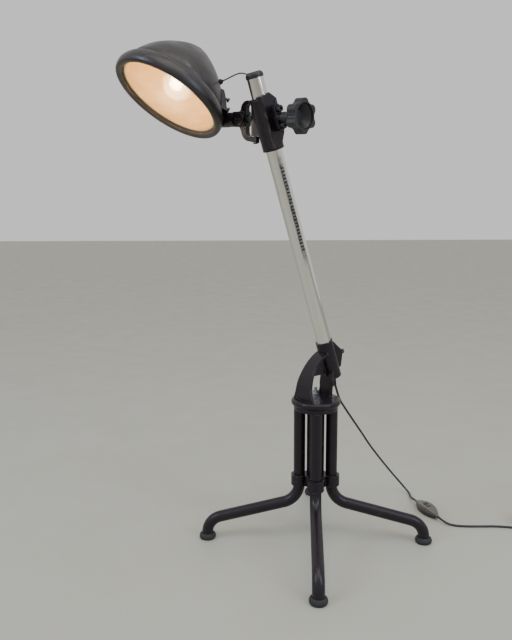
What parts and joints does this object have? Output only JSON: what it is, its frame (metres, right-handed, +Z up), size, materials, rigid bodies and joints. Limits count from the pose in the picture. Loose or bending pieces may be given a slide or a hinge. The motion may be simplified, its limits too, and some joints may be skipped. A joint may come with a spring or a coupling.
{
  "type": "examination lamp",
  "caption": "Floor-standing examination lamp: bent-tube legs, cast yoke, leaning chrome post, sliding carriage with star knob, and a round swivelling lamp head.",
  "frame": {"origin": "on the floor, on the axis of the four-legged base", "axes": "+Z up, the legs along X and Y, the lamp head towards -X and -Y"},
  "size_m": [0.9799, 0.535, 1.0597],
  "materials": {
    "black_enamel": "semi-gloss black enamel, chipped and worn",
    "chrome": "chrome plate, slightly worn",
    "zinc_steel": "zinc-plated steel",
    "black_steel": "blackened steel",
    "black_bakelite": "moulded thermoset, dull gloss",
    "rubber": "black rubber",
    "shade_paint": "dark grey lacquer, rubbed",
    "white_reflector": "white enamel",
    "clear_glass": "patterned glass",
    "bulb": "opal glass",
    "brass": "nickel over brass",
    "cord_pvc": "black flexible cord",
    "lead_pvc": "dark grey lead",
    "switch_grey": "grey brown moulding",
    "switch_black": "black moulding"
  },
  "bodies": {
    "root": {"base_plate": "black_enamel", "centre_column": "black_enamel", "cord_coil": "cord_pvc", "cord_grommet": "rubber", "cord_to_coil": "cord_pvc", "cord_to_plug": "cord_pvc", "cord_to_switch": "cord_pvc", "foot_pad_front": "rubber", "foot_pad_left": "rubber", "foot_pad_rear": "rubber", "foot_pad_right": "rubber", "leg_collar": "black_enamel", "leg_front": "black_enamel", "leg_left": "black_enamel", "leg_plugs": "black_steel", "leg_rear": "black_enamel", "leg_right": "black_enamel", "plug_body": "switch_black", "plug_pins": "brass", "sleeve_set_bolt": "black_steel", "switch_base": "switch_black", "switch_cover": "switch_grey", "switch_pin": "zinc_steel", "yoke_bolts": "zinc_steel", "yoke_casting": "black_enamel", "yoke_screws": "black_steel"},
    "post": {"post_tube": "chrome", "post_cap": "black_bakelite", "cap_grommet": "rubber", "lead_from_cap": "lead_pvc"},
    "carriage": {"carriage_casting": "black_enamel", "carriage_plate": "black_enamel", "plate_screws": "black_steel", "knob_bridge": "black_enamel", "bridge_screws": "black_steel", "lead_on_carriage": "lead_pvc"},
    "shoe": {"pressure_shoe": "brass"},
    "knob": {"star_knob": "black_bakelite", "knob_spindle": "black_steel"},
    "bail": {"bail": "black_enamel", "bail_pins": "black_steel", "tilt_pad": "black_enamel", "lead_on_bail": "lead_pvc"},
    "head": {"stub_shaft": "black_enamel", "pivot_bolt": "black_steel", "shade_bracket": "black_enamel", "bracket_bolts": "black_steel", "shade_shell": "shade_paint", "rim_bezel": "shade_paint", "glass_gasket": "rubber", "front_glass": "clear_glass", "reflector": "white_reflector", "lamp_holder": "black_bakelite", "bulb_cap": "brass", "bulb_glass": "bulb", "lead_gland": "rubber"},
    "rocker": {"switch_rocker": "switch_black"}
  },
  "joints": [
    {"name": "post_turn", "type": "hinge", "parent": "root", "child": "post", "pos_m": [0, 0, 0.5135], "axis": [-0.25, -0.2098, 0.9452], "range_deg": [-120, 120]},
    {"name": "carriage_height", "type": "slide", "parent": "post", "child": "carriage", "axis": [-0.25, -0.2098, 0.9452], "range_m": [-0.24, 0.03], "deforming": ["lead_from_cap"]},
    {"name": "shoe_press", "type": "slide", "parent": "carriage", "child": "shoe", "axis": [0.7537, -0.6552, -0.0523], "range_m": [0, 0.0031]},
    {"name": "knob_turn", "type": "hinge", "parent": "shoe", "child": "knob", "pos_m": [-0.10314, -0.08654, 0.90341], "axis": [0.7537, -0.6552, -0.0523], "range_deg": [0, 720]},
    {"name": "head_swing", "type": "hinge", "parent": "carriage", "child": "bail", "pos_m": [-0.12349, -0.06885, 0.90482], "axis": [0.0051, -0.0738, 0.9973], "range_deg": [-45, 45], "deforming": ["lead_on_carriage"]},
    {"name": "head_tilt", "type": "hinge", "parent": "bail", "child": "head", "pos_m": [-0.10314, -0.08654, 0.90341], "axis": [0.7537, -0.6552, -0.0523], "range_deg": [-60, 50], "deforming": ["lead_on_bail"]},
    {"name": "switch_rock", "type": "hinge", "parent": "root", "child": "rocker", "pos_m": [0.27675, 0.1451, 0.014], "axis": [0.9187, 0.3949, 0], "range_deg": [-12, 0]}
  ],
  "couplings": [
    {"joint": "shoe_press", "follows": "knob_turn", "m_per_rad": 0.00023873}
  ]
}
